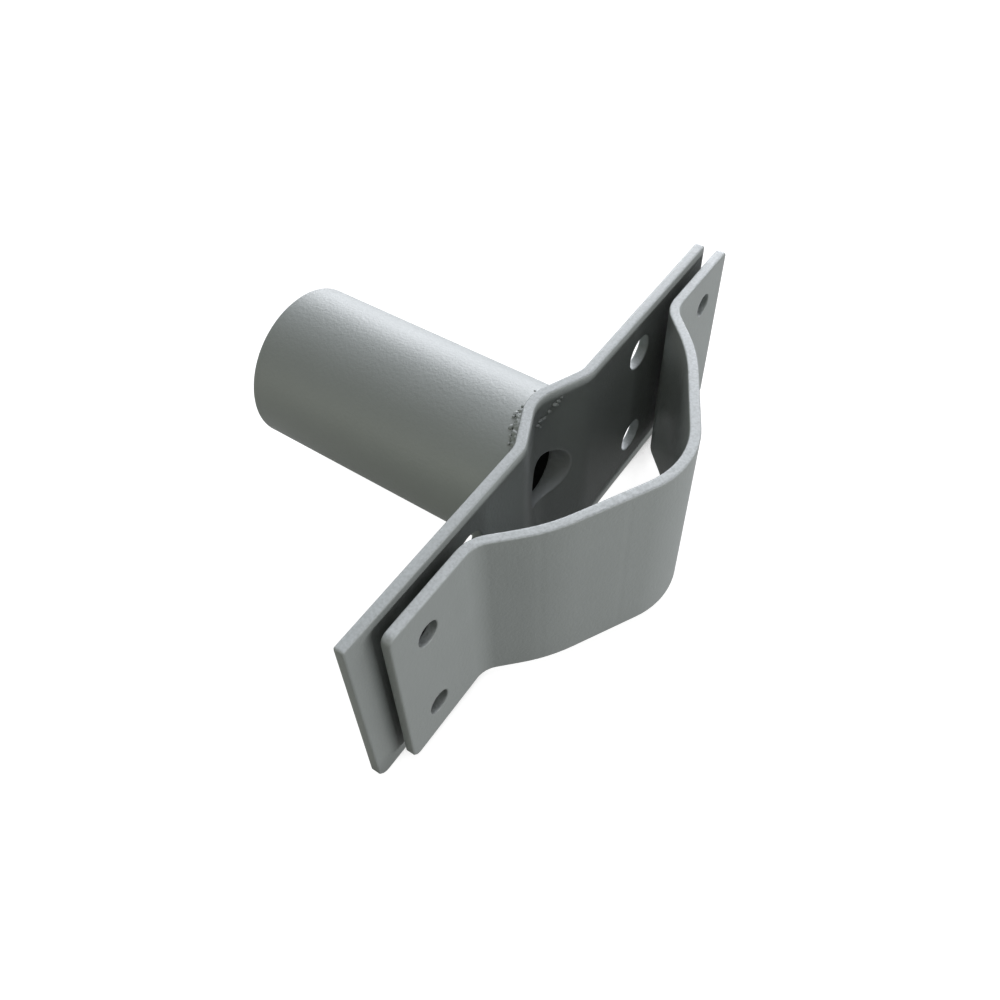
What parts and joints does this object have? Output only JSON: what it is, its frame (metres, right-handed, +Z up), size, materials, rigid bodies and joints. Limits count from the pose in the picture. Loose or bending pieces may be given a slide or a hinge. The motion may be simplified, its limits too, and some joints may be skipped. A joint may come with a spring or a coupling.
{
  "type": "pole mount bracket",
  "caption": "Pole bracket: a pressed seat plate with a welded horizontal tube spigot for a lamp or sign arm, and a bowed strap that bolts to the plate round the pole.",
  "frame": {"origin": "on the spigot's axis, in the plane of the seat plate's flat back face", "axes": "+X along the plate and the strap, +Y along the spigot away from the pole, +Z up the pole"},
  "size_m": [0.1691, 0.1288, 0.0634],
  "materials": {
    "painted_steel": "satin light grey paint with a fine orange-peel grain",
    "painted_weld": "the same paint over a rippled weld"
  },
  "bodies": {
    "root": {"back_plate": "painted_steel", "spigot_tube": "painted_steel", "weld_bead": "painted_weld", "front_strap": "painted_steel"}
  },
  "joints": []
}
